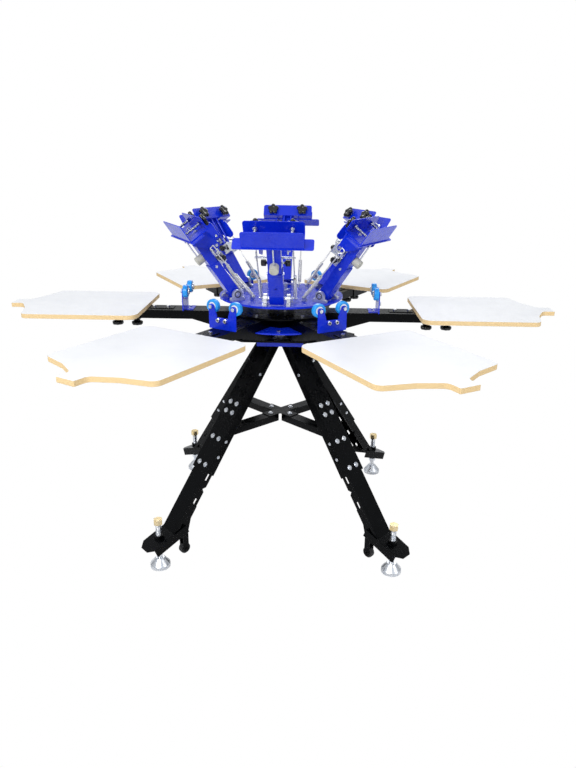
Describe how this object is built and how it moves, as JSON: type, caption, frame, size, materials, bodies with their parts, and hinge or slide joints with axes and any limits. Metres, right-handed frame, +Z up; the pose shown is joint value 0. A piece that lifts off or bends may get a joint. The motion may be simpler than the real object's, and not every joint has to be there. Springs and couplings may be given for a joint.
{
  "type": "manual screen printing press",
  "caption": "Floor standing rotary screen printing press: laminated platens and sprung print heads on two carousels over a four legged steel stand.",
  "frame": {"origin": "on the floor, on the spindle axis, under the middle of the four levelling feet", "axes": "+Z up the spindle, +X along one platen arm, -Y towards the printer at the front"},
  "size_m": [2.203, 1.9416, 1.3461],
  "materials": {
    "blue_paint": "glossy blue powder coat",
    "black_paint": "semi gloss black powder coat",
    "zinc": "bright zinc plate",
    "bearing_steel": "pale cast bearing housings",
    "spring_steel": "bright wire",
    "laminate_board": "white laminate on plywood",
    "roller_plastic": "light blue moulded rollers",
    "knob_plastic": "black moulded knobs",
    "foot_rubber": "black rubber",
    "caster_plastic": "black wheel"
  },
  "bodies": {
    "stand": {"stand_plate": "black_paint", "stand_head": "blue_paint", "spindle": "zinc", "upper_legs": "black_paint", "lower_legs": "black_paint", "cross_brace": "black_paint", "caster_forks": "black_paint", "stand_bolts": "zinc"},
    "lower_carousel": {"lower_hub": "black_paint", "lower_disc": "blue_paint", "platen_arms": "black_paint", "gate_brackets": "blue_paint", "carousel_fittings": "zinc", "platen_brackets": "black_paint", "platen_1": "laminate_board", "platen_2": "laminate_board", "platen_3": "laminate_board", "platen_4": "laminate_board", "platen_5": "laminate_board", "platen_6": "laminate_board"},
    "upper_carousel": {"upper_hub": "black_paint", "upper_disc": "blue_paint", "bearing_blocks": "bearing_steel", "spring_anchors": "zinc"},
    "leveling_foot_1": {"leveling_foot_1": "foot_rubber"},
    "leveling_foot_2": {"leveling_foot_2": "foot_rubber"},
    "leveling_foot_3": {"leveling_foot_3": "foot_rubber"},
    "leveling_foot_4": {"leveling_foot_4": "foot_rubber"},
    "caster_wheel_1": {"caster_wheel_1": "caster_plastic"},
    "caster_wheel_2": {"caster_wheel_2": "caster_plastic"},
    "roller_left_1": {"roller_left_1": "roller_plastic"},
    "roller_right_1": {"roller_right_1": "roller_plastic"},
    "roller_left_2": {"roller_left_2": "roller_plastic"},
    "roller_right_2": {"roller_right_2": "roller_plastic"},
    "roller_left_3": {"roller_left_3": "roller_plastic"},
    "roller_right_3": {"roller_right_3": "roller_plastic"},
    "roller_left_4": {"roller_left_4": "roller_plastic"},
    "roller_right_4": {"roller_right_4": "roller_plastic"},
    "roller_left_5": {"roller_left_5": "roller_plastic"},
    "roller_right_5": {"roller_right_5": "roller_plastic"},
    "roller_left_6": {"roller_left_6": "roller_plastic"},
    "roller_right_6": {"roller_right_6": "roller_plastic"},
    "head_1": {"head_arm_1": "blue_paint"},
    "clamp_screws_1": {"clamp_screws_1": "knob_plastic"},
    "springs_1": {"springs_1": "spring_steel"},
    "head_2": {"head_arm_2": "blue_paint"},
    "clamp_screws_2": {"clamp_screws_2": "knob_plastic"},
    "springs_2": {"springs_2": "spring_steel"},
    "head_3": {"head_arm_3": "blue_paint"},
    "clamp_screws_3": {"clamp_screws_3": "knob_plastic"},
    "springs_3": {"springs_3": "spring_steel"},
    "head_4": {"head_arm_4": "blue_paint"},
    "clamp_screws_4": {"clamp_screws_4": "knob_plastic"},
    "springs_4": {"springs_4": "spring_steel"},
    "head_5": {"head_arm_5": "blue_paint"},
    "clamp_screws_5": {"clamp_screws_5": "knob_plastic"},
    "springs_5": {"springs_5": "spring_steel"},
    "head_6": {"head_arm_6": "blue_paint"},
    "clamp_screws_6": {"clamp_screws_6": "knob_plastic"},
    "springs_6": {"springs_6": "spring_steel"}
  },
  "joints": [
    {"name": "lower_carousel_turn", "type": "hinge", "parent": "stand", "child": "lower_carousel", "pos_m": [0, 0, 0.93], "axis": [0, 0, 1], "continuous": true},
    {"name": "upper_carousel_turn", "type": "hinge", "parent": "stand", "child": "upper_carousel", "pos_m": [0, 0, 0.985], "axis": [0, 0, 1], "continuous": true},
    {"name": "leveling_foot_1_screw", "type": "slide", "parent": "stand", "child": "leveling_foot_1", "axis": [0, 0, -1], "range_m": [-0.015, 0.03]},
    {"name": "leveling_foot_2_screw", "type": "slide", "parent": "stand", "child": "leveling_foot_2", "axis": [0, 0, -1], "range_m": [-0.015, 0.03]},
    {"name": "leveling_foot_3_screw", "type": "slide", "parent": "stand", "child": "leveling_foot_3", "axis": [0, 0, -1], "range_m": [-0.015, 0.03]},
    {"name": "leveling_foot_4_screw", "type": "slide", "parent": "stand", "child": "leveling_foot_4", "axis": [0, 0, -1], "range_m": [-0.015, 0.03]},
    {"name": "caster_wheel_1_roll", "type": "hinge", "parent": "stand", "child": "caster_wheel_1", "pos_m": [-0.37299, -0.34782, 0.035], "axis": [0.682, -0.7314, 0], "continuous": true},
    {"name": "caster_wheel_2_roll", "type": "hinge", "parent": "stand", "child": "caster_wheel_2", "pos_m": [0.37299, -0.34782, 0.035], "axis": [0.682, 0.7314, 0], "continuous": true},
    {"name": "roller_left_1_spin", "type": "hinge", "parent": "lower_carousel", "child": "roller_left_1", "pos_m": [0.381, 0.05, 1.027], "axis": [1, 0, 0], "continuous": true},
    {"name": "roller_right_1_spin", "type": "hinge", "parent": "lower_carousel", "child": "roller_right_1", "pos_m": [0.381, -0.05, 1.027], "axis": [1, 0, 0], "continuous": true},
    {"name": "roller_left_2_spin", "type": "hinge", "parent": "lower_carousel", "child": "roller_left_2", "pos_m": [0.1472, 0.35496, 1.027], "axis": [0.5, 0.866, 0], "continuous": true},
    {"name": "roller_right_2_spin", "type": "hinge", "parent": "lower_carousel", "child": "roller_right_2", "pos_m": [0.2338, 0.30496, 1.027], "axis": [0.5, 0.866, 0], "continuous": true},
    {"name": "roller_left_3_spin", "type": "hinge", "parent": "lower_carousel", "child": "roller_left_3", "pos_m": [-0.2338, 0.30496, 1.027], "axis": [-0.5, 0.866, 0], "continuous": true},
    {"name": "roller_right_3_spin", "type": "hinge", "parent": "lower_carousel", "child": "roller_right_3", "pos_m": [-0.1472, 0.35496, 1.027], "axis": [-0.5, 0.866, 0], "continuous": true},
    {"name": "roller_left_4_spin", "type": "hinge", "parent": "lower_carousel", "child": "roller_left_4", "pos_m": [-0.381, -0.05, 1.027], "axis": [-1, 0, 0], "continuous": true},
    {"name": "roller_right_4_spin", "type": "hinge", "parent": "lower_carousel", "child": "roller_right_4", "pos_m": [-0.381, 0.05, 1.027], "axis": [-1, 0, 0], "continuous": true},
    {"name": "roller_left_5_spin", "type": "hinge", "parent": "lower_carousel", "child": "roller_left_5", "pos_m": [-0.1472, -0.35496, 1.027], "axis": [-0.5, -0.866, 0], "continuous": true},
    {"name": "roller_right_5_spin", "type": "hinge", "parent": "lower_carousel", "child": "roller_right_5", "pos_m": [-0.2338, -0.30496, 1.027], "axis": [-0.5, -0.866, 0], "continuous": true},
    {"name": "roller_left_6_spin", "type": "hinge", "parent": "lower_carousel", "child": "roller_left_6", "pos_m": [0.2338, -0.30496, 1.027], "axis": [0.5, -0.866, 0], "continuous": true},
    {"name": "roller_right_6_spin", "type": "hinge", "parent": "lower_carousel", "child": "roller_right_6", "pos_m": [0.1472, -0.35496, 1.027], "axis": [0.5, -0.866, 0], "continuous": true},
    {"name": "head_1_tilt", "type": "hinge", "parent": "upper_carousel", "child": "head_1", "pos_m": [-0.00733, -0.20987, 1.036], "axis": [0.9994, -0.0349, 0], "range_deg": [0, 55], "stiffness_Nm_per_rad": 9, "springref_deg": -68.75},
    {"name": "clamp_screws_1_travel", "type": "slide", "parent": "head_1", "child": "clamp_screws_1", "axis": [0.0286, 0.8187, 0.5736], "range_m": [-0.0025, 0.05]},
    {"name": "springs_1_swing", "type": "hinge", "parent": "upper_carousel", "child": "springs_1", "pos_m": [-0.00524, -0.14991, 1.026], "axis": [0.9994, -0.0349, 0], "range_deg": [0, 43]},
    {"name": "head_2_tilt", "type": "hinge", "parent": "upper_carousel", "child": "head_2", "pos_m": [0.17809, -0.11128, 1.036], "axis": [0.5299, 0.848, 0], "range_deg": [0, 55], "stiffness_Nm_per_rad": 9, "springref_deg": -68.75},
    {"name": "clamp_screws_2_travel", "type": "slide", "parent": "head_2", "child": "clamp_screws_2", "axis": [-0.6947, 0.4341, 0.5736], "range_m": [-0.0025, 0.05]},
    {"name": "springs_2_swing", "type": "hinge", "parent": "upper_carousel", "child": "springs_2", "pos_m": [0.12721, -0.07949, 1.026], "axis": [0.5299, 0.848, 0], "range_deg": [0, 43]},
    {"name": "head_3_tilt", "type": "hinge", "parent": "upper_carousel", "child": "head_3", "pos_m": [0.18542, 0.09859, 1.036], "axis": [-0.4695, 0.8829, 0], "range_deg": [0, 55], "stiffness_Nm_per_rad": 9, "springref_deg": -68.75},
    {"name": "clamp_screws_3_travel", "type": "slide", "parent": "head_3", "child": "clamp_screws_3", "axis": [-0.7233, -0.3846, 0.5736], "range_m": [-0.0025, 0.05]},
    {"name": "springs_3_swing", "type": "hinge", "parent": "upper_carousel", "child": "springs_3", "pos_m": [0.13244, 0.07042, 1.026], "axis": [-0.4695, 0.8829, 0], "range_deg": [0, 43]},
    {"name": "head_4_tilt", "type": "hinge", "parent": "upper_carousel", "child": "head_4", "pos_m": [0.00733, 0.20987, 1.036], "axis": [-0.9994, 0.0349, 0], "range_deg": [0, 55], "stiffness_Nm_per_rad": 9, "springref_deg": -68.75},
    {"name": "clamp_screws_4_travel", "type": "slide", "parent": "head_4", "child": "clamp_screws_4", "axis": [-0.0286, -0.8187, 0.5736], "range_m": [-0.0025, 0.05]},
    {"name": "springs_4_swing", "type": "hinge", "parent": "upper_carousel", "child": "springs_4", "pos_m": [0.00524, 0.14991, 1.026], "axis": [-0.9994, 0.0349, 0], "range_deg": [0, 43]},
    {"name": "head_5_tilt", "type": "hinge", "parent": "upper_carousel", "child": "head_5", "pos_m": [-0.17809, 0.11128, 1.036], "axis": [-0.5299, -0.848, 0], "range_deg": [0, 55], "stiffness_Nm_per_rad": 9, "springref_deg": -68.75},
    {"name": "clamp_screws_5_travel", "type": "slide", "parent": "head_5", "child": "clamp_screws_5", "axis": [0.6947, -0.4341, 0.5736], "range_m": [-0.0025, 0.05]},
    {"name": "springs_5_swing", "type": "hinge", "parent": "upper_carousel", "child": "springs_5", "pos_m": [-0.12721, 0.07949, 1.026], "axis": [-0.5299, -0.848, 0], "range_deg": [0, 43]},
    {"name": "head_6_tilt", "type": "hinge", "parent": "upper_carousel", "child": "head_6", "pos_m": [-0.18542, -0.09859, 1.036], "axis": [0.4695, -0.8829, 0], "range_deg": [0, 55], "stiffness_Nm_per_rad": 9, "springref_deg": -68.75},
    {"name": "clamp_screws_6_travel", "type": "slide", "parent": "head_6", "child": "clamp_screws_6", "axis": [0.7233, 0.3846, 0.5736], "range_m": [-0.0025, 0.05]},
    {"name": "springs_6_swing", "type": "hinge", "parent": "upper_carousel", "child": "springs_6", "pos_m": [-0.13244, -0.07042, 1.026], "axis": [0.4695, -0.8829, 0], "range_deg": [0, 43]}
  ],
  "couplings": [
    {"joint": "springs_1_swing", "follows": "head_1_tilt", "ratio": 0.7704},
    {"joint": "springs_2_swing", "follows": "head_2_tilt", "ratio": 0.7704},
    {"joint": "springs_3_swing", "follows": "head_3_tilt", "ratio": 0.7704},
    {"joint": "springs_4_swing", "follows": "head_4_tilt", "ratio": 0.7704},
    {"joint": "springs_5_swing", "follows": "head_5_tilt", "ratio": 0.7704},
    {"joint": "springs_6_swing", "follows": "head_6_tilt", "ratio": 0.7704}
  ]
}
